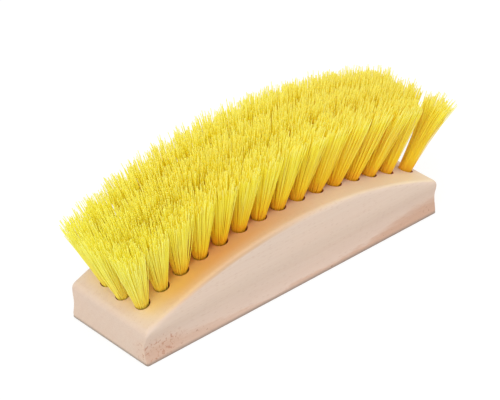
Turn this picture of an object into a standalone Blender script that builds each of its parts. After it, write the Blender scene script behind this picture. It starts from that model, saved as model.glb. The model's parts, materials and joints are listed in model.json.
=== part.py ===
"""Banneton brush: an arched wooden block, lying on its flat back, set with three rows of bristle tufts.

Metres, +Z up. The origin is the middle of the flat back. X runs along the block and Y across it.
"""
import math
import random

import bmesh
import bpy
from mathutils import Matrix, Vector

# Wooden block: flat back, square ends, and a face that arches from end to end
BLOCK_LENGTH = 0.200
BLOCK_WIDTH = 0.0574
END_HEIGHT = 0.0198
CROWN_HEIGHT = 0.0405
FACE_STEPS = 40

# Rounding of the block's edges
CORNER_ROUND = 0.0020
FACE_EDGE_ROUND = 0.0015
BACK_EDGE_ROUND = 0.0008
ROUND_STEPS = 3

# Finger groove along each long side, between two thin lips at the block's ends
GROOVE_DEPTH = 0.0022
GROOVE_LIP = 0.0010
GROOVE_STEPS = 64

# Holes drilled square to the arched face
HOLE_DIAMETER = 0.0076
HOLE_DEPTH = 0.0120
DRILL_POINT = math.radians(118)
HOLE_STEPS = 12

# Three rows of tufts: two outer rows that lean outward, and a middle row between them.
# The near row's last hole at +X is drilled a little farther out than the row's even spacing.
OUTER_ROW_TUFTS = 15
MIDDLE_ROW_TUFTS = 16
OUTER_ROW_MARGIN = 0.0110
MIDDLE_ROW_MARGIN = 0.0095
ROW_SPACING = 0.0125
ROW_LEAN = math.radians(11)
NEAR_END_SHIFT = 0.0028

# Bristle tufts: tight in the hole, flaring until neighbours in a row and neighbouring rows nearly meet
TUFT_LENGTH = 0.0430
FLARE_STEPS = 3
FLARE_POWER = 1.5
TIP_GAP = 0.0008
ROW_TIP_GAP = 0.0024
TIP_CROWN = 0.0020

# Clumps that each tuft parts into toward its tips, with furrows between them and ends of unequal length
CLUMPS = 10
FURROW_SHARE = 0.18
TIP_STEPS = 3
TIP_NOTCH = 0.0020
TIP_UNEVEN = 0.0026
TIP_POWER = 4
TUFT_SHAPES = 4

# Flat wire anchor that each tuft is folded over, with its ends in the wood
ANCHOR_WIDTH = 0.0092
ANCHOR_HEIGHT = 0.0020
ANCHOR_THICKNESS = 0.0004
FOLD_HEIGHT = 0.0015

# Gap left between pieces that touch, and the reach of a cutter past what it cuts
CLEARANCE = 0.0003
CUTTER_REACH = 0.0050
MERGE_DISTANCE = 0.00001
SMOOTH_ANGLE = math.radians(40)

# Values that follow from the sizes above
FACE_RISE = CROWN_HEIGHT - END_HEIGHT
FACE_RADIUS = ((BLOCK_LENGTH / 2) ** 2 + FACE_RISE ** 2) / (2 * FACE_RISE)
FACE_CENTRE_Z = CROWN_HEIGHT - FACE_RADIUS
HOLE_RADIUS = HOLE_DIAMETER / 2
ANCHOR_CENTRE_Z = -HOLE_DEPTH + FOLD_HEIGHT + ANCHOR_HEIGHT / 2


def clear_scene():
    """Removes whatever the open file holds."""
    for item in list(bpy.data.objects):
        bpy.data.objects.remove(item, do_unlink=True)


def make_collection(name):
    """A new collection in the scene."""
    collection = bpy.data.collections.new(name)
    bpy.context.scene.collection.children.link(collection)
    return collection


def make_material(name, colour, roughness):
    """A Principled BSDF material with one colour."""
    material = bpy.data.materials.new(name)
    material.use_nodes = True
    shader = material.node_tree.nodes["Principled BSDF"]
    shader.inputs["Base Color"].default_value = (*colour, 1.0)
    shader.inputs["Roughness"].default_value = roughness
    shader.inputs["Metallic"].default_value = 0.0
    return material


def beech():
    """Pale, unvarnished beech."""
    return make_material("beech", (0.74, 0.56, 0.44), 0.70)


def yellow_fibre():
    """Stiff yellow plastic fibre."""
    return make_material("yellow_fibre", (0.85, 0.66, 0.05), 0.40)


def new_object(name, mesh, collection):
    """An object for a mesh, linked to one collection."""
    item = bpy.data.objects.new(name, mesh)
    collection.objects.link(item)
    return item


def as_cutter(item):
    """Marks an object as a cutter or guide that isn't itself part of the brush."""
    item.hide_render = True
    item.display_type = "WIRE"
    return item


def smooth_mesh(mesh):
    """Smooth shading, with creases where faces meet at a sharp angle."""
    mesh.shade_smooth()
    mesh.set_sharp_from_angle(angle=SMOOTH_ANGLE)


def add_boolean(item, operation, tool):
    """A Boolean modifier that cuts or joins one object, or every object of a collection."""
    modifier = item.modifiers.new(operation.lower(), "BOOLEAN")
    modifier.operation = operation
    modifier.solver = "EXACT"
    if isinstance(tool, bpy.types.Collection):
        modifier.operand_type = "COLLECTION"
        modifier.collection = tool
    else:
        modifier.object = tool


def face_height(x):
    """Height of the arched face above the back, at x along the block."""
    return FACE_CENTRE_Z + math.sqrt(FACE_RADIUS ** 2 - x ** 2)


def block_blank():
    """The block before drilling: a box whose top is lifted into the arch."""
    shape = bmesh.new()
    size = Matrix.Diagonal((BLOCK_LENGTH, BLOCK_WIDTH, END_HEIGHT, 1.0))
    lift = Matrix.Translation((0.0, 0.0, END_HEIGHT / 2))
    bmesh.ops.create_cube(shape, size=1.0, matrix=lift @ size)
    for step in range(1, FACE_STEPS):
        x = BLOCK_LENGTH * (step / FACE_STEPS - 0.5)
        everything = shape.verts[:] + shape.edges[:] + shape.faces[:]
        bmesh.ops.bisect_plane(shape, geom=everything, plane_co=(x, 0.0, 0.0), plane_no=(1.0, 0.0, 0.0))
    for vertex in shape.verts:
        if vertex.co.z > END_HEIGHT / 2:
            vertex.co.z = face_height(vertex.co.x)
    mark_rounded_edges(shape)
    mesh = bpy.data.meshes.new("block")
    shape.to_mesh(mesh)
    shape.free()
    return mesh


def edge_round(edge):
    """Radius that an edge of the blank is rounded to."""
    middle = (edge.verts[0].co + edge.verts[1].co) / 2
    along = (edge.verts[1].co - edge.verts[0].co).normalized()
    at_end = abs(abs(middle.x) - BLOCK_LENGTH / 2) < MERGE_DISTANCE
    at_side = abs(abs(middle.y) - BLOCK_WIDTH / 2) < MERGE_DISTANCE
    if at_end and at_side:
        return CORNER_ROUND
    if middle.z < MERGE_DISTANCE and (at_end or (at_side and abs(along.x) > 0.5)):
        return BACK_EDGE_ROUND
    on_face = middle.z > END_HEIGHT - MERGE_DISTANCE
    if on_face and (at_end or (at_side and abs(along.x) > 0.5)):
        return FACE_EDGE_ROUND
    return 0.0


def largest_round():
    """The widest of the three edge roundings, which the bevel weights are shares of."""
    return max(CORNER_ROUND, FACE_EDGE_ROUND, BACK_EDGE_ROUND)


def mark_rounded_edges(shape):
    """Gives each edge of the blank its share of the widest rounding, as a bevel weight."""
    weights = shape.edges.layers.float.new("bevel_weight_edge")
    for edge in shape.edges:
        edge[weights] = edge_round(edge) / largest_round()


def groove_cutter(side, cutters):
    """A long cylinder that cuts the finger groove in one long side."""
    width = END_HEIGHT - 2 * GROOVE_LIP
    radius = ((width / 2) ** 2 + GROOVE_DEPTH ** 2) / (2 * GROOVE_DEPTH)
    shape = bmesh.new()
    length = BLOCK_LENGTH + 2 * CUTTER_REACH
    bmesh.ops.create_cone(shape, cap_ends=True, segments=GROOVE_STEPS, radius1=radius, radius2=radius, depth=length)
    mesh = bpy.data.meshes.new("groove_cutter")
    shape.to_mesh(mesh)
    shape.free()
    cutter = as_cutter(new_object(f"groove_cutter_{side:+d}", mesh, cutters))
    cutter.rotation_euler = (0.0, math.radians(90), 0.0)
    cutter.location = (0.0, side * (BLOCK_WIDTH / 2 + radius - GROOVE_DEPTH), END_HEIGHT / 2)


def turned(name, profile, steps, collection):
    """An object turned about Z from a profile that runs down its outer side."""
    mesh = bpy.data.meshes.new(name)
    points = [Vector((radius, 0.0, z)) for radius, z in profile]
    mesh.from_pydata(points, [(i, i + 1) for i in range(len(points) - 1)], [])
    item = new_object(name, mesh, collection)
    screw = item.modifiers.new("turn", "SCREW")
    screw.steps = steps
    screw.render_steps = steps
    screw.use_merge_vertices = True
    screw.merge_threshold = MERGE_DISTANCE
    return item


def anchor_box(name, margin, collection):
    """The flat wire anchor, or with a margin the space that it needs, in the tuft's own frame."""
    shape = bmesh.new()
    sides = (ANCHOR_WIDTH + 2 * margin, ANCHOR_THICKNESS + 2 * margin, ANCHOR_HEIGHT + 2 * margin, 1.0)
    place = Matrix.Translation((0.0, 0.0, ANCHOR_CENTRE_Z))
    bmesh.ops.create_cube(shape, size=1.0, matrix=place @ Matrix.Diagonal(sides))
    mesh = bpy.data.meshes.new(name)
    shape.to_mesh(mesh)
    shape.free()
    return as_cutter(new_object(name, mesh, collection))


def evaluated_mesh(item, name):
    """The mesh that an object's modifiers give, as a mesh of its own."""
    bpy.context.view_layer.update()
    graph = bpy.context.evaluated_depsgraph_get()
    mesh = bpy.data.meshes.new_from_object(item.evaluated_get(graph))
    mesh.name = name
    return mesh


def cone_depth(radius):
    """Depth of the drill's point at a radius."""
    return radius / math.tan(DRILL_POINT / 2)


def hole_mesh(guides):
    """The shape that one hole takes out of the block: a drilled hole with a slot for the anchor."""
    profile = [
        (0.0, CUTTER_REACH),
        (HOLE_RADIUS, CUTTER_REACH),
        (HOLE_RADIUS, -HOLE_DEPTH),
        (0.0, -HOLE_DEPTH - cone_depth(HOLE_RADIUS)),
    ]
    drill = as_cutter(turned("drill", profile, HOLE_STEPS, guides))
    add_boolean(drill, "UNION", anchor_box("anchor_slot", CLEARANCE, guides))
    return evaluated_mesh(drill, "hole")


def tip_radius():
    """Radius of a tuft at its tips, where neighbours in a row are TIP_GAP apart."""
    closest = min(row_pitch(OUTER_ROW_TUFTS, OUTER_ROW_MARGIN), row_pitch(MIDDLE_ROW_TUFTS, MIDDLE_ROW_MARGIN))
    reach = FACE_RADIUS + TUFT_LENGTH * math.cos(ROW_LEAN)
    return (2 * reach * math.sin(closest / 2) - TIP_GAP) / 2


def tip_half_width():
    """Half a tuft's width across the block at its tips, where neighbouring rows are ROW_TIP_GAP apart."""
    between_rows = ROW_SPACING + TUFT_LENGTH * math.sin(ROW_LEAN)
    return (between_rows - ROW_TIP_GAP) / (1 + math.cos(ROW_LEAN))


def share_of_length(vertex):
    """How far up the tuft's free length a vertex lies: 0 at the face or below, and 1 at the tips."""
    return min(max(vertex.co.z / TUFT_LENGTH, 0.0), 1.0)


def part_into_clumps(mesh, dice):
    """Furrows a round tuft between its clumps, ever deeper toward the tips, and leaves its ends uneven."""
    for vertex in mesh.vertices:
        share = share_of_length(vertex)
        outward = math.hypot(vertex.co.x, vertex.co.y) / tip_radius()
        angle = math.atan2(vertex.co.y, vertex.co.x)
        furrow = (1 - math.cos(CLUMPS * angle)) / 2
        narrowing = 1 - FURROW_SHARE * furrow * share
        drop = TIP_NOTCH * furrow * outward + dice.uniform(0.0, TIP_UNEVEN)
        vertex.co.x *= narrowing
        vertex.co.y *= narrowing
        vertex.co.z -= drop * share ** TIP_POWER


def widen_across(mesh):
    """Widens a round tuft across the block, from nothing at the face to its full width at the tips."""
    at_tips = tip_half_width() / tip_radius()
    for vertex in mesh.vertices:
        vertex.co.y *= 1 + (at_tips - 1) * share_of_length(vertex)


def tuft_dome():
    """Profile of a tuft's tips, from the middle outward, bulging TIP_CROWN above the rim."""
    shares = [step / TIP_STEPS for step in range(TIP_STEPS)]
    crown = TUFT_LENGTH + TIP_CROWN / 2
    return [(tip_radius() * share, crown - TIP_CROWN * share ** 2) for share in shares]


def tuft_flare(root):
    """Profile of a tuft's free length, from its tips down to the face."""
    shares = [1 - step / FLARE_STEPS for step in range(FLARE_STEPS + 1)]
    spread = tip_radius() - root
    rim = TUFT_LENGTH - TIP_CROWN / 2
    return [(root + spread * share ** FLARE_POWER, rim * share) for share in shares]


def tuft_mesh(guides, shape_number):
    """One tuft folded over its anchor, standing on the face at its own origin."""
    root = HOLE_RADIUS - CLEARANCE
    foot = -HOLE_DEPTH + CLEARANCE
    profile = tuft_dome() + tuft_flare(root) + [(root, foot), (0.0, foot - cone_depth(root))]
    bundle = as_cutter(turned("bundle", profile, 2 * CLUMPS, guides))
    add_boolean(bundle, "UNION", anchor_box("anchor", 0.0, guides))
    mesh = evaluated_mesh(bundle, "tuft")
    part_into_clumps(mesh, random.Random(shape_number))
    widen_across(mesh)
    smooth_mesh(mesh)
    return mesh


def row_half_angle(margin):
    """Angle on the arch from the crown to a row's last tuft, whose centre is a margin from the end."""
    return math.asin((BLOCK_LENGTH / 2 - margin) / FACE_RADIUS)


def row_pitch(count, margin):
    """Angle on the arch between neighbouring tufts of a row."""
    return 2 * row_half_angle(margin) / (count - 1)


def row_angles(count, margin, end_shift):
    """Angles on the arch of one row's tufts, evenly spaced but for the last one's shift along the arch."""
    start = -row_half_angle(margin)
    pitch = row_pitch(count, margin)
    angles = [start + i * pitch for i in range(count)]
    angles[-1] += end_shift / FACE_RADIUS
    return angles


def row_places(count, margin, side, end_shift=0.0):
    """Frames of one row's tufts: origin on the face, Z along the tuft, X along the arch."""
    arch_centre = Matrix.Translation((0.0, 0.0, FACE_CENTRE_Z))
    on_face = Matrix.Translation((0.0, side * ROW_SPACING, FACE_RADIUS))
    lean = Matrix.Rotation(-side * ROW_LEAN, 4, "X")
    angles = row_angles(count, margin, end_shift)
    return [arch_centre @ Matrix.Rotation(angle, 4, "Y") @ on_face @ lean for angle in angles]


def all_places():
    """Name and frame of every tuft."""
    rows = {
        "near": row_places(OUTER_ROW_TUFTS, OUTER_ROW_MARGIN, -1, NEAR_END_SHIFT),
        "middle": row_places(MIDDLE_ROW_TUFTS, MIDDLE_ROW_MARGIN, 0),
        "far": row_places(OUTER_ROW_TUFTS, OUTER_ROW_MARGIN, 1),
    }
    return [(f"{row}_{i + 1:02d}", place) for row, places in rows.items() for i, place in enumerate(places)]


def make_block(brush, cutters, guides):
    """The wooden block, rounded, grooved and drilled."""
    block = new_object("block", block_blank(), brush)
    block.data.materials.append(beech())
    bevel = block.modifiers.new("rounding", "BEVEL")
    bevel.limit_method = "WEIGHT"
    bevel.offset_type = "OFFSET"
    bevel.width = largest_round()
    bevel.segments = ROUND_STEPS
    for side in (-1, 1):
        groove_cutter(side, cutters)
    hole = hole_mesh(guides)
    for name, place in all_places():
        cutter = as_cutter(new_object(f"hole_{name}", hole, cutters))
        cutter.matrix_world = place
    add_boolean(block, "DIFFERENCE", cutters)
    return block


def make_tufts(block, brush, guides):
    """Every tuft, each as its own object on one of a few shapes, held by the block."""
    shapes = [tuft_mesh(guides, number) for number in range(TUFT_SHAPES)]
    fibre = yellow_fibre()
    for mesh in shapes:
        mesh.materials.clear()
        mesh.materials.append(fibre)
    dice = random.Random(TUFT_SHAPES)
    for name, place in all_places():
        tuft = new_object(f"tuft_{name}", dice.choice(shapes), brush)
        tuft.parent = block
        tuft.matrix_world = place


def main():
    clear_scene()
    brush = make_collection("banneton_brush")
    cutters = make_collection("cutters")
    guides = make_collection("guides")
    block = make_block(brush, cutters, guides)
    make_tufts(block, brush, guides)


main()
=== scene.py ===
"""Looks of the banneton brush: a beech block and 46 tufts of loose yellow bristles.

Metres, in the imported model's own frame: X along the block, Y across it, +Z up, and the
origin at the middle of the back.
"""
import json
import math
import random

import bmesh
import bpy
import numpy as np
from mathutils import Matrix, Vector

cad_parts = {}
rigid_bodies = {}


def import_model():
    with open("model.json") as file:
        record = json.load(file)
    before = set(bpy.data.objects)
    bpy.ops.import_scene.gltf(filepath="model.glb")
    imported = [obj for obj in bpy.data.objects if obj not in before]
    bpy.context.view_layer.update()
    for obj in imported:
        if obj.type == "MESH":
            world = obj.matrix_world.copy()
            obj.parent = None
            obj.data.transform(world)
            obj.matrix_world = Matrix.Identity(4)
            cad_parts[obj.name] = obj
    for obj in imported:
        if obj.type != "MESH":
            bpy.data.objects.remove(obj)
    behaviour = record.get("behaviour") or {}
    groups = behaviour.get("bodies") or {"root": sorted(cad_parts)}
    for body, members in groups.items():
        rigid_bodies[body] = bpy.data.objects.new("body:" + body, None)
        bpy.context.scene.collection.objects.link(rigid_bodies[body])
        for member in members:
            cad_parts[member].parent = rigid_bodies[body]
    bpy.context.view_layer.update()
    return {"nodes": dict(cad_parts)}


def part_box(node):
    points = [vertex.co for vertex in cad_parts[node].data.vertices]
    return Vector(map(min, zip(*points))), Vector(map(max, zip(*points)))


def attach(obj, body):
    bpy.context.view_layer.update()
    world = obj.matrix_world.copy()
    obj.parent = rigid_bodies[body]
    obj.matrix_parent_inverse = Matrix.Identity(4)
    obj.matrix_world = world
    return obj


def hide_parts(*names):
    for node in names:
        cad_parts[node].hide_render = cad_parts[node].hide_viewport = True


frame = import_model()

BLOCK_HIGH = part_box("block")[1]

# Camera at the photograph's viewing angle, for a 500 x 400 picture
CAMERA_YAW = math.radians(42.52)
CAMERA_PITCH = math.radians(32.73)
CAMERA_ROLL = math.radians(-0.14)
CAMERA_TARGET = Vector((-0.0058, 0.0014, 0.0400))
CAMERA_DISTANCE = 1.1614
CAMERA_LENS = 167.4
SENSOR_WIDTH = 36.0
CLIP_START = 0.05
CLIP_END = 20.0

# Bounces that light makes among the bristles, which are pale and close together
LIGHT_BOUNCES = 32

# Floor and world: greys and strengths that light the brush, and those that are seen directly
FLOOR_HALF_WIDTH = 4.0
FLOOR_GREY = 0.74
FLOOR_SHOWN_GREY = 0.34
FLOOR_SHOWN_GLOW = 0.72
WORLD_STRENGTH = 0.75
WORLD_SHOWN_STRENGTH = 1.0

# Lamps: squares of soft light
LAMP_SIZE = 1.8
KEY_PLACE = (-1.45, -0.7, 1.45)
KEY_POWER = 18.5
FILL_PLACE = (1.3, -1.2, 1.2)
FILL_POWER = 8.0

# Block: what the solid's own box doesn't say
HALF_LENGTH = BLOCK_HIGH.x
HALF_WIDTH = BLOCK_HIGH.y
CROWN_HEIGHT = BLOCK_HIGH.z
END_HEIGHT = 0.0198
CORNER_ROUND = 0.0020
FACE_EDGE_ROUND = 0.0025
BACK_EDGE_ROUND = 0.0008
ROUND_STEPS = 6
GROOVE_DEPTH = 0.0022
GROOVE_LIP = 0.0010         # height where the groove begins
GROOVE_DEEPEST = 0.0099     # height where it is deepest
GROOVE_FADE = 0.25          # share of the arch's rise that it fades out over
CORNER_SHARE = 0.9          # share of the half sizes past which an edge is an upright corner
SHARP_ANGLE = math.radians(35)

# Slices of the block's mesh along it, up it and across its face
STATIONS = 150
ROWS = 34
FACE_COLUMNS = 22

# Hand-sanded unevenness: its height, and for each wave the radians a metre along X, Y and Z
# and the angle that it starts from
WAVINESS = 0.00006
WAVES = (
    (210.0, 130.0, 0.0, 0.0),
    (97.0, 0.0, -260.0, 1.3),
    (0.0, 310.0, 170.0, 0.4),
)

# Holes and the tufts in them
HOLE_RADIUS = 0.0038
HOLE_DEPTH = 0.0120
HOLE_STEPS = 32
RIM_DEPTH = 0.0004          # depth at which a worn rim begins to widen
RIM_SLOPE = 0.55
TUFT_FOOT = 0.0138          # how far a tuft's solid reaches below the face
CUTTER_REACH = 0.0050       # how far a hole's cutter stands out of the face

# Bristles of one tuft: number, size, and where they stand in the hole. HEIGHTS are those of
# a bristle's points between its foot and its tip, from the face
BRISTLES = 290
BRISTLE_RADIUS = 0.00017
BRISTLE_SIDES = 6
FREE_LENGTH = 0.0416
BUNDLE_RADIUS = 0.00338
FOOT_SHIFT = 0.0002
BRISTLE_FOOT = -0.0082
HEIGHTS = (-0.0005, 0.009, 0.019, 0.031)
GOLDEN_ANGLE = math.pi * (3 - math.sqrt(5))
ANGLE_SPREAD = 0.15

# Bristles of one tuft: how far and how evenly their tips spread
FLARE_POWER = 0.95
TIP_REACH_ALONG = 0.0074
TIP_REACH_ACROSS = {"near": 0.0086, "middle": 0.0103, "far": 0.0086}
INWARD = {"near": 0.0004, "middle": 0.0, "far": -0.0004}
SQUARENESS = 4              # power of the rounded rectangle that the tips fill
CLUMPS = 10
CLUMP_INNERMOST = 0.05      # square of the nearest clump's share of the reach
CLUMP_PULL = 0.0003         # the most that a clump draws a tip in
CLUMP_PULL_SHARE = 0.5
STRAY = 0.0005
LONG_STRAY = 0.0008
STRAY_LIMIT = 2.0           # the most that a random step may be, in usual steps
BEND = 0.0006

# Bristles of one tuft: how long they are
LENGTH_SPREAD = 0.0014
SHORT_SHARE = 0.30
SHORTEST = 0.0080
LONG_SHARE = 0.12
LONGEST = 0.0045

# Single tufts, as the photograph shows them: the slit before the near row's last tuft, and
# the crown's low left end
SLIT_REACH = {"tuft_near_14": 0.74, "tuft_near_15": 0.88, "tuft_middle_16": 0.88}
SLIT_FLARE = {"tuft_near_14": 1.1, "tuft_near_15": 2.0, "tuft_middle_16": 1.1}
TIP_LEAN = {
    "tuft_near_14": -0.0034,
    "tuft_near_15": 0.0010,
    "tuft_middle_16": -0.0022,
    "tuft_far_15": -0.0006,
    "tuft_far_01": 0.0010,
}
SHORTER = {"tuft_far_01": 0.0026, "tuft_far_02": 0.0016, "tuft_middle_01": 0.0006}

# Anchor wires at the bottom of the holes
ANCHOR_WIDTH = 0.0092
ANCHOR_HEIGHT = 0.0020
ANCHOR_THICKNESS = 0.0004
ANCHOR_DEPTH = 0.0095
ANCHOR_EDGE_ROUND = 0.00008

# Beech: colours as a screen shows them, from 0 to 255
BEECH = {
    "dull": (224, 205, 190),
    "light": (231, 207, 188),
    "late_wood": (214, 181, 158),
    "streak": (210, 178, 154),
    "rosy": (222, 188, 168),
    "fleck": (176, 130, 100),
    "pore": (168, 124, 96),
    "end_grain": (222, 186, 160),
    "band": (198, 150, 116),
    "band_speck": (150, 92, 66),
    "knot": (214, 150, 100),
    "knot_speck": (178, 112, 78),
    "low": (200, 170, 158),
    # painted light: the orange glow that the yellow bristles throw on the face
    "warm": (226, 166, 92),
    # painted shade on the rounded edge between the face and the long side
    "crease": (184, 140, 84),
    # painted shade among the tufts, orange-brown with the bristles' reflected light
    "between": (178, 98, 36),
    # painted reflection: yellow light from the bristles on the face near the left end
    "yellow": (252, 216, 96),
    # painted light: the face made paler where the tufts shade it
    "pale": (250, 231, 198),
    # painted shade: a grey line of contact shade along the bottom edge
    "back_edge": (142, 130, 120),
    # painted shade: the walls and rims of the holes, dark as the shade around the tufts' feet
    "drilled": (150, 66, 26),
}

# Beech: how fine each pattern is, in cells a metre, along X, Y and Z where it has three
DRIFT_SCALE = (5.0, 22.0, 22.0)
STREAK_SCALE = (14.0, 700.0, 700.0)
ROSY_SCALE = (10.0, 60.0, 60.0)
TONE_SCALE = (14.0, 30.0, 30.0)
FLECK_SCALE = (260.0, 1500.0, 1500.0)
RAGGED_SCALE = (90.0, 300.0, 500.0)
BAND_SPECK_SCALE = (420.0, 420.0, 900.0)
GRAIN_SCALE = (60.0, 2600.0, 2600.0)
PORE_SCALE = 3800.0
KNOT_SPECK_SCALE = 560.0
RING_SCALE = 62.0

# Beech: how far the growth rings drift, and the shift that puts their centre off the block
RING_DRIFT = (0.0, 0.016, 0.016)
RING_SHIFT = (0.0, 0.085, 0.062)

# Beech: the redder band near the back, and the knot near the left corner
BAND_HEIGHT = 0.0035
BAND_RISE = 0.0080          # how much higher the band is at the block's ends
BAND_RISE_PLACE = (0.030, 0.095)           # from the block's middle
BAND_RAGGEDNESS = 0.0060
KNOT_STRETCH = (0.6, 1.0, 1.3)
KNOT_PLACE = (-0.0545, -0.0275, 0.0088)    # as KNOT_STRETCH leaves it
KNOT_REACH = 0.0125

# Beech: where each tint of the face begins and ends, by place along the block, by distance
# from its middle line ("side") or by height
LOW_HEIGHT = (0.004, 0.020)
FACE_HEIGHT = (0.0120, 0.0160)
# Painted light: the orange glow of the bristles on the face
WARM_LEFT = (-0.094, -0.070)
WARM_RIGHT = (-0.050, 0.050)
WARM_SIDE = (0.0200, 0.0300)
# Painted shade on the rounded edge between the face and the long side
CREASE_LEFT = (-0.085, -0.050)
CREASE_RIGHT = (-0.030, 0.015)
# Painted shade among the tufts
BETWEEN_SIDE = (0.0115, 0.0150)
BETWEEN_ENDS = (0.062, 0.084)
# Painted reflection of the yellow bristles on the face near the left end
YELLOW_LEFT = (-0.098, -0.088)
YELLOW_RIGHT = (-0.075, -0.045)
YELLOW_SIDE = (0.018, 0.026)
# Painted light: the face made paler where the tufts shade it, in the middle and toward the right end
PALE_MIDDLE = (-0.005, 0.035)
PALE_RIGHT = (0.050, 0.080)
PALE_SIDE = (0.013, 0.020)
# Painted contact shade along the bottom edge
BACK_LINE_HEIGHT = (0.0006, 0.0024)

# Bristle fibre: colours as a screen shows them, from 0 to 255
FIBRE = {
    "plain": (255, 247, 64),
    "bright": (255, 250, 92),
    "brightest": (255, 252, 150),
    # painted shade: deeper yellow toward the root, where the bristles shade each other
    "lower": (255, 228, 34),
    # painted light: paler at the tip, the light that shines through the thin ends
    "tip": (255, 252, 180),
    "left": (255, 253, 122),
    "right_tip": (255, 222, 32),
    "right": (250, 228, 52),
    # painted shade: orange at the bristles' feet, where they stand in shade
    "foot": (250, 180, 42),
    "mottle": (254, 242, 56),
}
MOTTLE_SCALE = (1200.0, 1200.0, 160.0)

# Anchor wire
WIRE = {"dark": (176, 178, 180), "light": (206, 206, 204)}
WIRE_SCALE = (400.0, 4000.0, 4000.0)

# Values that follow from the sizes above
FACE_RISE = CROWN_HEIGHT - END_HEIGHT
FACE_RADIUS = (HALF_LENGTH ** 2 + FACE_RISE ** 2) / (2 * FACE_RISE)
FACE_CENTRE_Z = CROWN_HEIGHT - FACE_RADIUS


def face_height(x):
    """Height of the arched face above the back, at x along the block."""
    return FACE_CENTRE_Z + math.sqrt(FACE_RADIUS ** 2 - min(abs(x), HALF_LENGTH) ** 2)


def link(name, mesh):
    """A new object in the scene for a mesh."""
    item = bpy.data.objects.new(name, mesh)
    bpy.context.scene.collection.objects.link(item)
    return item


class Nodes:
    """Short calls for building one material's nodes."""

    def __init__(self, name):
        self.material = bpy.data.materials.new(name)
        self.material.use_nodes = True
        self.tree = self.material.node_tree
        self.shader = self.tree.nodes["Principled BSDF"]

    def put(self, socket, value):
        """Sets an input, or links it when the value is another node's output."""
        if isinstance(value, bpy.types.NodeSocket):
            self.tree.links.new(value, socket)
        else:
            socket.default_value = value

    def add(self, kind, inputs=(), **settings):
        """A node with its settings, and its inputs by name or number."""
        node = self.tree.nodes.new(kind)
        for key, value in settings.items():
            setattr(node, key, value)
        for key, value in dict(inputs).items():
            self.put(node.inputs[key], value)
        return node

    def math(self, operation, *values, clamp=False):
        """Result of a Math node."""
        node = self.add("ShaderNodeMath", operation=operation, use_clamp=clamp)
        for socket, value in zip(node.inputs, values):
            self.put(socket, value)
        return node.outputs[0]

    def fit(self, value, low, high, to_low=0.0, to_high=1.0):
        """A value's range mapped smoothly to another, and held at its ends."""
        node = self.add("ShaderNodeMapRange", interpolation_type="SMOOTHSTEP")
        for key, number in enumerate((value, low, high, to_low, to_high)):
            self.put(node.inputs[key], number)
        return node.outputs[0]

    def noise(self, place, scale, detail=2.0, roughness=0.5):
        """Value of a noise texture, about 0.5 on average."""
        inputs = {"Vector": place, "Scale": scale, "Detail": detail, "Roughness": roughness}
        return self.add("ShaderNodeTexNoise", inputs).outputs[0]

    def stretch(self, place, scale):
        """A place scaled by its own factor along each axis."""
        return self.add("ShaderNodeMapping", {"Vector": place, "Scale": scale}).outputs[0]

    def mix(self, share, first, second):
        """Two colours mixed by a share."""
        node = self.add("ShaderNodeMix", data_type="RGBA")
        self.put(node.inputs[0], share)
        self.put(node.inputs[6], first)
        self.put(node.inputs[7], second)
        return node.outputs[2]

    def product(self, first, *others):
        """Product of two or more values."""
        result = first
        for value in others:
            result = self.math("MULTIPLY", result, value)
        return result

    def inverse(self, value):
        """One minus a value."""
        return self.math("SUBTRACT", 1.0, value)

    def tint(self, colour, share, target):
        """A colour moved by a share toward one given as a screen shows it."""
        return self.mix(share, colour, srgb(*target))

    def bump(self, height, strength, distance, normal=None):
        """Normal of a bumped surface."""
        inputs = {"Height": height, "Strength": strength, "Distance": distance}
        if normal is not None:
            inputs["Normal"] = normal
        return self.add("ShaderNodeBump", inputs).outputs[0]


def srgb(red, green, blue):
    """A colour given in the eight-bit values that a screen shows."""
    def linear(value):
        share = value / 255
        return share / 12.92 if share <= 0.04045 else ((share + 0.055) / 1.055) ** 2.4
    return (linear(red), linear(green), linear(blue), 1.0)


def growth_rings(n, place):
    """Late wood of the growth rings, which drift a little along the block."""
    drift = {"Vector": n.stretch(place, DRIFT_SCALE), "Scale": 1.0, "Detail": 2.0}
    drift = n.add("ShaderNodeTexNoise", drift).outputs["Color"]
    moved = {0: drift, 1: RING_DRIFT, 2: place}
    moved = n.add("ShaderNodeVectorMath", moved, operation="MULTIPLY_ADD").outputs[0]
    centred = n.add("ShaderNodeMapping", {"Vector": moved, "Location": RING_SHIFT}).outputs[0]
    wave = {"Vector": centred, "Scale": RING_SCALE, "Distortion": 1.2, "Detail": 2.0}
    rings = n.add("ShaderNodeTexWave", wave, wave_type="RINGS", rings_direction="X",
                  wave_profile="SAW")
    return n.fit(rings.outputs["Fac"], 0.55, 1.0)


def ray_flecks(n, place, long_grain):
    """Short flecks of the wood's rays, on all but the cut ends."""
    cells = {"Vector": n.stretch(place, FLECK_SCALE), "Scale": 1.0, "Randomness": 1.0}
    cells = n.add("ShaderNodeTexVoronoi", cells)
    pick = n.add("ShaderNodeSeparateColor", {0: cells.outputs["Color"]}).outputs[0]
    spot = n.fit(cells.outputs["Distance"], 0.16, 0.34, 1.0, 0.0)
    return n.product(spot, n.fit(pick, 0.45, 0.60), long_grain)


def end_pores(n, place, end_grain):
    """Pores on the cut ends."""
    cells = {"Vector": place, "Scale": PORE_SCALE, "Randomness": 1.0}
    cells = n.add("ShaderNodeTexVoronoi", cells)
    return n.product(n.fit(cells.outputs["Distance"], 0.12, 0.30, 1.0, 0.0), end_grain)


def low_band(n, along, height, ragged, long_grain):
    """Band with a ragged top near the back, higher toward the block's ends."""
    rise = n.product(n.fit(n.math("ABSOLUTE", along), *BAND_RISE_PLACE), BAND_RISE)
    top = n.math("ADD", rise, BAND_HEIGHT)
    uneven = n.product(n.math("SUBTRACT", ragged, 0.5), BAND_RAGGEDNESS)
    level = n.math("DIVIDE", n.math("ADD", height, uneven), top)
    return n.product(n.fit(n.math("SUBTRACT", 1.0, level, clamp=True), 0.0, 0.55), long_grain)


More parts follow.
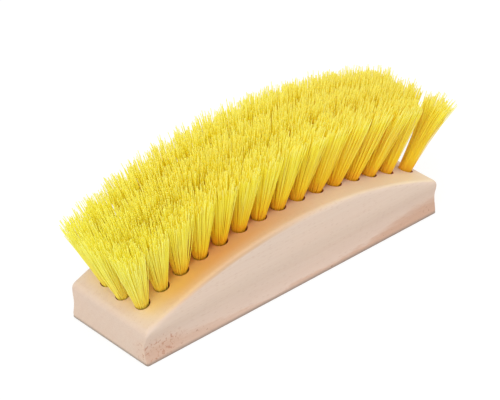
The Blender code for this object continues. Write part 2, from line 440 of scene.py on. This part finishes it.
def band_and_knot(n, colour, place, along, band):
    """The redder band with its dark specks, and the specked knot near the left corner."""
    colour = n.tint(colour, n.product(band, n.fit(along, -0.02, 0.07, 0.45, 0.72)), BEECH["band"])
    specks = n.fit(n.noise(n.stretch(place, BAND_SPECK_SCALE), 1.0, 2.0, 0.6), 0.66, 0.74)
    colour = n.tint(colour, n.product(specks, band, 0.75), BEECH["band_speck"])
    away = {0: n.stretch(place, KNOT_STRETCH), 1: KNOT_PLACE}
    away = n.add("ShaderNodeVectorMath", away, operation="DISTANCE").outputs["Value"]
    knot = n.fit(away, 0.4 * KNOT_REACH, KNOT_REACH, 1.0, 0.0)
    colour = n.tint(colour, n.product(knot, 0.12), BEECH["knot"])
    specks = n.fit(n.noise(place, KNOT_SPECK_SCALE, 2.0, 0.6), 0.55, 0.64)
    return n.tint(colour, n.product(knot, specks, 0.66), BEECH["knot_speck"])


def face_tints(n, colour, axes, up, long_grain):
    """Painted light and shade on the face, as the photograph shows them: the bristles' glow and
    reflection, shade on the rounded edge and among the tufts, and light where the tufts shade it.
    """
    along, across, height = axes
    side = n.math("ABSOLUTE", across)
    upward = n.fit(up, 0.55, 0.85)
    on_face = n.fit(height, *FACE_HEIGHT)
    # Painted light: the orange glow that the yellow bristles throw on the face near them
    warm = n.product(n.fit(along, *WARM_LEFT, 0.05, 0.92), n.fit(along, *WARM_RIGHT, 1.0, 0.0))
    warm = n.product(n.fit(up, 0.02, 0.70), on_face, warm, n.fit(side, *WARM_SIDE, 1.0, 0.35))
    colour = n.tint(colour, warm, BEECH["warm"])
    # Painted shade on the rounded edge between the face and the long side
    crease = n.product(n.fit(up, 0.05, 0.40), n.fit(up, 0.55, 0.92, 0.34, 0.0))
    crease = n.product(crease, n.fit(along, *CREASE_LEFT), n.fit(along, *CREASE_RIGHT, 1.0, 0.0))
    colour = n.tint(colour, n.product(crease, on_face, long_grain), BEECH["crease"])
    # Painted shade among the tufts, orange-brown with the bristles' reflected light
    between = n.product(upward, n.fit(side, *BETWEEN_SIDE, 0.50, 0.0),
                        n.fit(n.math("ABSOLUTE", along), *BETWEEN_ENDS, 1.0, 0.0))
    colour = n.tint(colour, between, BEECH["between"])
    # Painted reflection: yellow light from the bristles on the face near the left end
    yellow = n.product(n.fit(along, *YELLOW_LEFT), n.fit(along, *YELLOW_RIGHT, 1.0, 0.0), upward,
                       n.fit(side, *YELLOW_SIDE, 0.45, 0.15))
    colour = n.tint(colour, yellow, BEECH["yellow"])
    # Painted light: the face made paler where the tufts shade it, in the middle and toward the right
    # end
    pale = n.math("ADD", n.fit(along, *PALE_MIDDLE, 0.0, 0.30), n.fit(along, *PALE_RIGHT, 0.0, 0.35))
    return n.tint(colour, n.product(upward, pale, n.fit(side, *PALE_SIDE)), BEECH["pale"])


def beech_material(name, drilled):
    """Pale raw beech with its rings, streaks, flecks and pores, with painted light and shade on the
    face, and walls of the holes painted a dark red-brown shade.
    """
    n = Nodes(name)
    place = n.add("ShaderNodeTexCoord").outputs["Object"]
    along, across, height = n.add("ShaderNodeSeparateXYZ", {0: place}).outputs
    normal = n.add("ShaderNodeNewGeometry").outputs["Normal"]
    endward, _, up = n.add("ShaderNodeSeparateXYZ", {0: normal}).outputs
    end_grain = n.fit(n.math("ABSOLUTE", endward), 0.75, 0.95)
    long_grain = n.inverse(end_grain)

    streaks = n.noise(n.stretch(place, STREAK_SCALE), 1.0, 3.0, 0.6)
    rosy = n.noise(n.stretch(place, ROSY_SCALE), 1.0, 2.0)
    tone = n.noise(n.stretch(place, TONE_SCALE), 1.0, 1.0)
    ragged = n.noise(n.stretch(place, RAGGED_SCALE), 1.0, 3.0, 0.65)
    flecks = ray_flecks(n, place, long_grain)
    pores = end_pores(n, place, end_grain)
    band = low_band(n, along, height, ragged, long_grain)

    colour = n.mix(tone, srgb(*BEECH["dull"]), srgb(*BEECH["light"]))
    colour = n.tint(colour, n.product(growth_rings(n, place), 0.08), BEECH["late_wood"])
    colour = n.tint(colour, n.fit(streaks, 0.35, 0.75, 0.0, 0.14), BEECH["streak"])
    colour = n.tint(colour, n.fit(rosy, 0.45, 0.8, 0.0, 0.16), BEECH["rosy"])
    colour = n.tint(colour, n.product(flecks, 0.20), BEECH["fleck"])
    colour = n.tint(colour, n.product(pores, 0.45), BEECH["pore"])
    colour = n.tint(colour, n.product(end_grain, 0.10), BEECH["end_grain"])
    colour = band_and_knot(n, colour, place, along, band)
    low = n.product(n.fit(height, *LOW_HEIGHT, 0.26, 0.0), long_grain)
    colour = n.tint(colour, low, BEECH["low"])
    colour = face_tints(n, colour, (along, across, height), up, long_grain)
    # Painted shade: a grey line of contact shade along the bottom edge
    back_line = n.product(n.fit(height, *BACK_LINE_HEIGHT, 1.0, 0.0), 0.78)
    colour = n.tint(colour, back_line, BEECH["back_edge"])
    # Painted shade: walls and rims of the holes made dark red-brown, the shade around the tufts'
    # feet
    if drilled:
        colour = n.tint(colour, 0.90, BEECH["drilled"])
    n.put(n.shader.inputs["Base Color"], colour)
    n.put(n.shader.inputs["Roughness"], n.math("ADD", n.product(streaks, 0.14), 0.60))
    n.put(n.shader.inputs["Specular IOR Level"], 0.35)

    fibres = n.noise(n.stretch(place, GRAIN_SCALE), 1.0, 3.0, 0.6)
    bumped = n.bump(fibres, 0.35, 0.00012)
    pits = n.inverse(n.math("MAXIMUM", pores, flecks))
    bumped = n.bump(pits, 0.25, 0.00010, bumped)
    bumped = n.bump(n.product(ragged, band), 0.5, 0.0006, bumped)
    n.put(n.shader.inputs["Normal"], bumped)
    return n.material


def fibre_material():
    """Yellow plastic bristle: each its own tint, with painted shade that deepens it toward the root
    and painted light that makes it paler at the tip.
    """
    n = Nodes("yellow_fibre_detailed")
    pick = n.add("ShaderNodeAttribute", attribute_name="pick").outputs["Fac"]
    share = n.add("ShaderNodeAttribute", attribute_name="share").outputs["Fac"]
    place = n.add("ShaderNodeTexCoord").outputs["Object"]
    along = n.add("ShaderNodeSeparateXYZ", {0: place}).outputs[0]
    mottle = n.noise(n.stretch(place, MOTTLE_SCALE), 1.0, 2.0)

    colour = n.mix(pick, srgb(*FIBRE["plain"]), srgb(*FIBRE["bright"]))
    colour = n.tint(colour, n.fit(pick, 0.80, 1.0, 0.0, 0.40), FIBRE["brightest"])
    # Painted shade: deeper yellow toward the root, where the bristles shade each other
    colour = n.tint(colour, n.fit(share, 0.10, 0.70, 0.85, 0.0), FIBRE["lower"])
    # Painted light: paler toward the tip, the light that shines through the thin ends
    colour = n.tint(colour, n.fit(share, 0.88, 1.0, 0.0, 0.35), FIBRE["tip"])
    colour = n.tint(colour, n.fit(along, -0.110, -0.040, 0.72, 0.0), FIBRE["left"])
    right_tip = n.product(n.fit(along, -0.010, 0.050, 0.0, 0.45), n.fit(share, 0.60, 0.95, 1.0, 0.0))
    colour = n.tint(colour, right_tip, FIBRE["right_tip"])
    colour = n.tint(colour, n.fit(along, 0.010, 0.090, 0.0, 0.15), FIBRE["right"])
    # Painted shade: orange at the bristles' feet, where they stand in shade
    foot = n.product(n.fit(share, 0.0, 0.24, 0.70, 0.0), n.fit(along, -0.090, -0.040, 0.15, 1.0))
    colour = n.tint(colour, foot, FIBRE["foot"])
    colour = n.tint(colour, n.fit(mottle, 0.40, 0.75, 0.0, 0.15), FIBRE["mottle"])
    n.put(n.shader.inputs["Base Color"], colour)
    n.put(n.shader.inputs["Roughness"], n.fit(mottle, 0.3, 0.7, 0.30, 0.46))
    n.put(n.shader.inputs["Specular IOR Level"], 0.45)
    n.put(n.shader.inputs["Normal"], n.bump(mottle, 0.20, 0.00005))
    return n.material


def wire_material():
    """Drawn steel wire."""
    n = Nodes("anchor_wire_detailed")
    place = n.add("ShaderNodeTexCoord").outputs["Object"]
    grain = n.noise(n.stretch(place, WIRE_SCALE), 1.0, 2.0)
    n.put(n.shader.inputs["Base Color"], n.mix(grain, srgb(*WIRE["dark"]), srgb(*WIRE["light"])))
    n.put(n.shader.inputs["Metallic"], 1.0)
    n.put(n.shader.inputs["Roughness"], n.fit(grain, 0.3, 0.7, 0.28, 0.45))
    n.put(n.shader.inputs["Normal"], n.bump(grain, 0.2, 0.00004))
    return n.material


def tuft_frame(node):
    """Frame of a tuft: origin on the block's face, Z along the tuft, X along the arch."""
    points = np.array([vertex.co for vertex in node.data.vertices])
    middle = points.mean(axis=0)
    axis = np.linalg.svd(points - middle, full_matrices=False)[2][0]
    axis = axis * np.sign(axis[2])
    foot = middle + axis * ((points - middle) @ axis).min()
    z = Vector(axis)
    y = z.cross(Vector((1.0, 0.0, 0.0))).normalized()
    x = y.cross(z)
    basis = Matrix((x, y, z)).transposed().to_4x4()
    return Matrix.Translation(Vector(foot) + z * TUFT_FOOT) @ basis


def rounding(edge):
    """Radius that an edge of the plain box is rounded to."""
    middle = (edge.verts[0].co + edge.verts[1].co) / 2
    if abs(middle.x) > HALF_LENGTH * CORNER_SHARE and abs(middle.y) > HALF_WIDTH * CORNER_SHARE:
        return CORNER_ROUND
    return FACE_EDGE_ROUND if middle.z > END_HEIGHT / 2 else BACK_EDGE_ROUND


def slice_box(shape, axis, low, high, count):
    """Cuts a convex shape into evenly spaced slices along one axis."""
    for step in range(1, count):
        place = [0.0, 0.0, 0.0]
        place[axis] = low + (high - low) * step / count
        normal = [0.0, 0.0, 0.0]
        normal[axis] = 1.0
        everything = shape.verts[:] + shape.edges[:] + shape.faces[:]
        bmesh.ops.bisect_plane(shape, geom=everything, plane_co=place, plane_no=normal)


def groove_inset(x, z):
    """How far the long side lies inside its plane: a cove near the back that fades out upward."""
    top = END_HEIGHT + GROOVE_FADE * (face_height(x) - END_HEIGHT)
    if z <= GROOVE_LIP or z >= top:
        return 0.0
    if z < GROOVE_DEEPEST:
        share = (GROOVE_DEEPEST - z) / (GROOVE_DEEPEST - GROOVE_LIP)
        return GROOVE_DEPTH * (1 - share ** 2)
    share = (z - GROOVE_DEEPEST) / (top - GROOVE_DEEPEST)
    return GROOVE_DEPTH * (0.5 + 0.5 * math.cos(math.pi * share))


def shape_vertex(vertex):
    """Lifts a point of the rounded box into the arch and pushes it into the side groove."""
    x, y, z = vertex.co
    share = (z - BACK_EDGE_ROUND) / (END_HEIGHT - FACE_EDGE_ROUND - BACK_EDGE_ROUND)
    z += (face_height(x) - END_HEIGHT) * min(max(share, 0.0), 1.0)
    limit = HALF_WIDTH - groove_inset(x, z)
    if abs(y) > limit:
        y = math.copysign(limit, y)
    vertex.co = (x, y, z)


def waviness(point):
    """Small hand-sanded unevenness of the block's surface."""
    waves = (math.sin(point.x * x + point.y * y + point.z * z + start) for x, y, z, start in WAVES)
    return WAVINESS * sum(waves) / 2


def block_mesh():
    """The undrilled block as a fine mesh."""
    shape = bmesh.new()
    size = Matrix.Diagonal((2 * HALF_LENGTH, 2 * HALF_WIDTH, END_HEIGHT, 1.0))
    centre = Matrix.Translation((0.0, 0.0, END_HEIGHT / 2))
    bmesh.ops.create_cube(shape, size=1.0, matrix=centre @ size)
    weights = shape.edges.layers.float.new("bevel_weight_edge")
    widest = max(CORNER_ROUND, FACE_EDGE_ROUND, BACK_EDGE_ROUND)
    for edge in shape.edges:
        edge[weights] = rounding(edge) / widest
    rough = bpy.data.meshes.new("rounded_box")
    shape.to_mesh(rough)
    shape.free()
    box = link("rounded_box", rough)
    bevel = box.modifiers.new("rounding", "BEVEL")
    bevel.limit_method = "WEIGHT"
    bevel.offset_type = "OFFSET"
    bevel.width = widest
    bevel.segments = ROUND_STEPS
    shape = bmesh.new()
    bpy.context.view_layer.update()
    shape.from_object(box, bpy.context.evaluated_depsgraph_get())
    bpy.data.objects.remove(box)
    slice_box(shape, 0, -HALF_LENGTH, HALF_LENGTH, STATIONS)
    slice_box(shape, 1, -HALF_WIDTH, HALF_WIDTH, FACE_COLUMNS)
    slice_box(shape, 2, BACK_EDGE_ROUND, END_HEIGHT - FACE_EDGE_ROUND, ROWS)
    for vertex in shape.verts:
        shape_vertex(vertex)
    shape.normal_update()
    for vertex in shape.verts:
        if vertex.co.z > BACK_EDGE_ROUND:
            vertex.co += vertex.normal * waviness(vertex.co)
    mesh = bpy.data.meshes.new("beech_block")
    shape.to_mesh(mesh)
    shape.free()
    return mesh


def hole_cutter(place, material):
    """The shape of one drilled hole: straight, and wider from a little under its rim."""
    shape = bmesh.new()
    depth = HOLE_DEPTH + CUTTER_REACH
    centre = Matrix.Translation((0.0, 0.0, (CUTTER_REACH - HOLE_DEPTH) / 2))
    bmesh.ops.create_cone(shape, cap_ends=True, segments=HOLE_STEPS, radius1=HOLE_RADIUS,
                          radius2=HOLE_RADIUS, depth=depth, matrix=place @ centre)
    everything = shape.verts[:] + shape.edges[:] + shape.faces[:]
    rim = place @ Vector((0.0, 0.0, -RIM_DEPTH))
    bmesh.ops.bisect_plane(shape, geom=everything, plane_co=rim, plane_no=place.col[2].to_3d())
    for vertex in shape.verts:
        local = place.inverted() @ vertex.co
        if local.z > 0.0:
            wide = 1 + RIM_SLOPE * (local.z + RIM_DEPTH) / HOLE_RADIUS
            vertex.co = place @ Vector((local.x * wide, local.y * wide, local.z))
    for face in shape.faces:
        face.material_index = 1
    mesh = bpy.data.meshes.new("hole")
    shape.to_mesh(mesh)
    shape.free()
    mesh.materials.append(material)
    mesh.materials.append(material)
    return link("hole", mesh)


def make_block(places):
    """The beech block with a drilled hole for every tuft."""
    block = link("beech_block", block_mesh())
    # Hole walls and rims take the material with the painted dark shade
    drilled = beech_material("beech_drilled", True)
    block.data.materials.append(beech_material("beech_detailed", False))
    block.data.materials.append(drilled)
    cutters = bpy.data.collections.new("holes")
    bpy.context.scene.collection.children.link(cutters)
    for place in places.values():
        cutter = hole_cutter(place, drilled)
        bpy.context.scene.collection.objects.unlink(cutter)
        cutters.objects.link(cutter)
    drill = block.modifiers.new("drill", "BOOLEAN")
    drill.operation = "DIFFERENCE"
    drill.solver = "EXACT"
    drill.operand_type = "COLLECTION"
    drill.collection = cutters
    bpy.context.view_layer.update()
    evaluated = block.evaluated_get(bpy.context.evaluated_depsgraph_get())
    drilled_mesh = bpy.data.meshes.new_from_object(evaluated)
    block.modifiers.clear()
    block.data = drilled_mesh
    for cutter in list(cutters.objects):
        bpy.data.objects.remove(cutter)
    bpy.data.collections.remove(cutters)
    drilled_mesh.shade_smooth()
    drilled_mesh.set_sharp_from_angle(angle=SHARP_ANGLE)
    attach(block, "root")
    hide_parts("block")


def wobble(dice, spread):
    """A random sideways step, held to a few times its usual size."""
    most = spread * STRAY_LIMIT
    return Vector(min(max(dice.gauss(0.0, spread), -most), most) for _ in range(2))


def tip_reach(angle, reach):
    """Outermost tip of a tuft in one direction: neighbours press it into a rounded rectangle."""
    ahead, aside = math.cos(angle), math.sin(angle)
    stretch = (abs(ahead) ** SQUARENESS + abs(aside) ** SQUARENESS) ** (-1 / SQUARENESS)
    return Vector((ahead * reach.x, aside * reach.y)) * stretch


def tuft_reach(node_name):
    """Reach of a tuft's tips along and across the block, less for the tufts beside the slit."""
    reach = Vector((TIP_REACH_ALONG, TIP_REACH_ACROSS[node_name.split("_")[1]]))
    return reach * SLIT_REACH.get(node_name, 1.0)


def bristle_length(dice, lot, usual):
    """Free length of one bristle: about as usual, or for some by their lot shorter or longer."""
    length = usual + dice.gauss(0.0, LENGTH_SPREAD)
    if lot < SHORT_SHARE:
        length -= dice.uniform(0.0, SHORTEST)
    elif lot > 1 - LONG_SHARE:
        length += dice.uniform(0.0, LONGEST)
    return min(length, usual + LONGEST)


def bristle_path(dice, number, clumps, reach, lean, usual, foot, flare):
    """Points of one bristle from its foot in the hole to its tip, in the tuft's own frame."""
    share = math.sqrt((number + 0.5) / BRISTLES)
    angle = number * GOLDEN_ANGLE + dice.uniform(-ANGLE_SPREAD, ANGLE_SPREAD)
    root = foot + Vector((math.cos(angle), math.sin(angle))) * share * BUNDLE_RADIUS
    tip = tip_reach(angle, reach) * share
    clump = min(clumps, key=lambda spot: (spot - tip).length)
    pull = clump - tip
    tip += pull.normalized() * min(pull.length * CLUMP_PULL_SHARE, CLUMP_PULL) + lean
    bend = wobble(dice, BEND)
    lot = dice.random()
    length = bristle_length(dice, lot, usual)
    tip += wobble(dice, LONG_STRAY if lot > 1 - LONG_SHARE else STRAY)
    points = [Vector((root.x, root.y, BRISTLE_FOOT))]
    for height in (*HEIGHTS, length):
        run = max(height, 0.0) / FREE_LENGTH
        side = root.lerp(tip, run ** flare) + bend * 2 * run * (1 - run)
        drop = side.length_squared / (2 * FREE_LENGTH) * run
        points.append(Vector((side.x, side.y, height - drop)))
    return points


def bristle_rings(points):
    """Corners of a bristle's rings, one ring at each point of its path."""
    rings = []
    for index, point in enumerate(points):
        before = points[max(index - 1, 0)]
        after = points[min(index + 1, len(points) - 1)]
        ahead = (after - before).normalized()
        first = ahead.cross(Vector((0.0, 1.0, 0.0))).normalized()
        second = ahead.cross(first)
        for corner in range(BRISTLE_SIDES):
            turn = 2 * math.pi * corner / BRISTLE_SIDES
            outward = first * math.cos(turn) + second * math.sin(turn)
            rings.append(point + outward * BRISTLE_RADIUS)
    return rings


def bristle_faces(start, rings):
    """Faces of a closed tube whose corners begin at a given number."""
    sides = BRISTLE_SIDES
    faces = []
    for ring in range(rings - 1):
        low = start + ring * sides
        for corner in range(sides):
            following = (corner + 1) % sides
            high = low + sides
            faces.append((low + corner, low + following, high + following, high + corner))
    last = start + (rings - 1) * sides
    faces.append(tuple(start + corner for corner in reversed(range(sides))))
    faces.append(tuple(last + corner for corner in range(sides)))
    return faces


def make_tuft(node_name, place, seed, material):
    """One tuft of separate bristles in place of its plain solid."""
    dice = random.Random(seed)
    reach = tuft_reach(node_name)
    lean = Vector((TIP_LEAN.get(node_name, 0.0), INWARD[node_name.split("_")[1]]))
    foot_along = dice.uniform(-FOOT_SHIFT, FOOT_SHIFT / 2)
    foot_across = dice.uniform(0.0, FOOT_SHIFT)
    foot = Vector((foot_along, foot_across))
    usual = FREE_LENGTH - SHORTER.get(node_name, 0.0)
    flare = SLIT_FLARE.get(node_name, FLARE_POWER)
    clumps = []
    for _ in range(CLUMPS):
        angle = dice.uniform(0.0, 2 * math.pi)
        share = math.sqrt(dice.uniform(CLUMP_INNERMOST, 1.0))
        clumps.append(tip_reach(angle, reach) * share)
    corners, faces, picks, shares = [], [], [], []
    for number in range(BRISTLES):
        points = bristle_path(dice, number, clumps, reach, lean, usual, foot, flare)
        faces.extend(bristle_faces(len(corners), len(points)))
        corners.extend(bristle_rings(points))
        pick = dice.random()
        for point in points:
            picks.extend([pick] * BRISTLE_SIDES)
            shares.extend([max(point.z, 0.0) / FREE_LENGTH] * BRISTLE_SIDES)
    name = node_name.replace("tuft", "bristles")
    mesh = bpy.data.meshes.new(name)
    mesh.from_pydata([place @ corner for corner in corners], [], faces)
    mesh.attributes.new("pick", "FLOAT", "POINT").data.foreach_set("value", picks)
    mesh.attributes.new("share", "FLOAT", "POINT").data.foreach_set("value", shares)
    mesh.shade_flat()
    mesh.materials.append(material)
    tuft = link(name, mesh)
    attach(tuft, "root")
    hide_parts(node_name)


def make_anchors(row, places, material):
    """The flat wires that one row's tufts are folded over, at the bottom of their holes."""
    shape = bmesh.new()
    for place in places:
        sides = Matrix.Diagonal((ANCHOR_WIDTH, ANCHOR_THICKNESS, ANCHOR_HEIGHT, 1.0))
        centre = Matrix.Translation((0.0, 0.0, -ANCHOR_DEPTH))
        bmesh.ops.create_cube(shape, size=1.0, matrix=place @ centre @ sides)
    bmesh.ops.bevel(shape, geom=shape.edges[:], offset=ANCHOR_EDGE_ROUND, segments=2,
                    affect="EDGES")
    mesh = bpy.data.meshes.new(f"anchors_{row}")
    shape.to_mesh(mesh)
    shape.free()
    mesh.materials.append(material)
    anchors = link(f"anchors_{row}", mesh)
    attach(anchors, "root")


def make_camera():
    """Camera at the photograph's viewing angle."""
    across = Vector((math.cos(CAMERA_YAW), -math.sin(CAMERA_YAW), 0.0))
    level = math.cos(CAMERA_PITCH)
    ahead = Vector((math.sin(CAMERA_YAW) * level, math.cos(CAMERA_YAW) * level,
                    -math.sin(CAMERA_PITCH)))
    up = across.cross(ahead)
    turned = Matrix((across, up, -ahead)).transposed() @ Matrix.Rotation(CAMERA_ROLL, 3, "Z")
    data = bpy.data.cameras.new("camera")
    data.lens = CAMERA_LENS
    data.sensor_width = SENSOR_WIDTH
    data.clip_start = CLIP_START
    data.clip_end = CLIP_END
    camera = bpy.data.objects.new("camera", data)
    bpy.context.scene.collection.objects.link(camera)
    place = Matrix.Translation(CAMERA_TARGET - ahead * CAMERA_DISTANCE)
    camera.matrix_world = place @ turned.to_4x4()
    bpy.context.scene.camera = camera


def seen_directly(tree):
    """1 for rays from the camera, also reflected or refracted ones, else 0."""
    path = tree.nodes.new("ShaderNodeLightPath")
    total = path.outputs["Is Camera Ray"]
    for name in ("Is Glossy Ray", "Is Transmission Ray"):
        node = tree.nodes.new("ShaderNodeMath")
        node.operation = "ADD"
        node.use_clamp = True
        tree.links.new(total, node.inputs[0])
        tree.links.new(path.outputs[name], node.inputs[1])
        total = node.outputs[0]
    return total


def make_floor():
    """White table top that keeps the brush's soft shadow."""
    shape = bmesh.new()
    bmesh.ops.create_grid(shape, x_segments=1, y_segments=1, size=FLOOR_HALF_WIDTH)
    mesh = bpy.data.meshes.new("floor")
    shape.to_mesh(mesh)
    shape.free()
    material = bpy.data.materials.new("white_table")
    material.use_nodes = True
    tree = material.node_tree
    tree.nodes.clear()
    plain = tree.nodes.new("ShaderNodeBsdfDiffuse")
    plain.inputs["Color"].default_value = (FLOOR_GREY, FLOOR_GREY, FLOOR_GREY, 1.0)
    shown = tree.nodes.new("ShaderNodeBsdfDiffuse")
    grey = FLOOR_SHOWN_GREY
    shown.inputs["Color"].default_value = (grey, grey, grey, 1.0)
    glow = tree.nodes.new("ShaderNodeEmission")
    glow.inputs["Strength"].default_value = FLOOR_SHOWN_GLOW
    both = tree.nodes.new("ShaderNodeAddShader")
    tree.links.new(shown.outputs[0], both.inputs[0])
    tree.links.new(glow.outputs[0], both.inputs[1])
    choice = tree.nodes.new("ShaderNodeMixShader")
    tree.links.new(seen_directly(tree), choice.inputs[0])
    tree.links.new(plain.outputs[0], choice.inputs[1])
    tree.links.new(both.outputs[0], choice.inputs[2])
    out = tree.nodes.new("ShaderNodeOutputMaterial")
    tree.links.new(choice.outputs[0], out.inputs["Surface"])
    mesh.materials.append(material)
    link("floor", mesh)


def make_world():
    """Even studio light all round, white where it is seen directly."""
    world = bpy.data.worlds.new("studio")
    bpy.context.scene.world = world
    world.use_nodes = True
    tree = world.node_tree
    tree.nodes.clear()
    light = tree.nodes.new("ShaderNodeBackground")
    light.inputs["Strength"].default_value = WORLD_STRENGTH
    light.inputs["Color"].default_value = (1.0, 1.0, 1.0, 1.0)
    white = tree.nodes.new("ShaderNodeBackground")
    white.inputs["Strength"].default_value = WORLD_SHOWN_STRENGTH
    white.inputs["Color"].default_value = (1.0, 1.0, 1.0, 1.0)
    choice = tree.nodes.new("ShaderNodeMixShader")
    tree.links.new(seen_directly(tree), choice.inputs[0])
    tree.links.new(light.outputs[0], choice.inputs[1])
    tree.links.new(white.outputs[0], choice.inputs[2])
    out = tree.nodes.new("ShaderNodeOutputWorld")
    tree.links.new(choice.outputs[0], out.inputs["Surface"])


def make_lamp(name, place, power):
    """A square soft lamp aimed at the brush."""
    data = bpy.data.lights.new(name, "AREA")
    data.shape = "SQUARE"
    data.size = LAMP_SIZE
    data.energy = power
    lamp = bpy.data.objects.new(name, data)
    bpy.context.scene.collection.objects.link(lamp)
    lamp.location = place
    aim = CAMERA_TARGET - Vector(place)
    lamp.rotation_euler = aim.to_track_quat("-Z", "Y").to_euler()


def make_studio():
    """Camera, floor, world and lamps."""
    bpy.context.scene.view_settings.view_transform = "Standard"
    bpy.context.scene.cycles.max_bounces = LIGHT_BOUNCES
    bpy.context.scene.cycles.diffuse_bounces = LIGHT_BOUNCES
    make_camera()
    make_floor()
    make_world()
    make_lamp("key", KEY_PLACE, KEY_POWER)
    make_lamp("fill", FILL_PLACE, FILL_POWER)


def make_brush():
    """Block, tufts and anchors."""
    nodes = sorted(frame["nodes"].items())
    places = {name: tuft_frame(node) for name, node in nodes if name != "block"}
    make_block(places)
    fibre = fibre_material()
    wire = wire_material()
    for seed, (name, place) in enumerate(places.items()):
        make_tuft(name, place, seed, fibre)
    for row in ("near", "middle", "far"):
        in_row = [place for name, place in places.items() if row in name]
        make_anchors(row, in_row, wire)


make_studio()
make_brush()
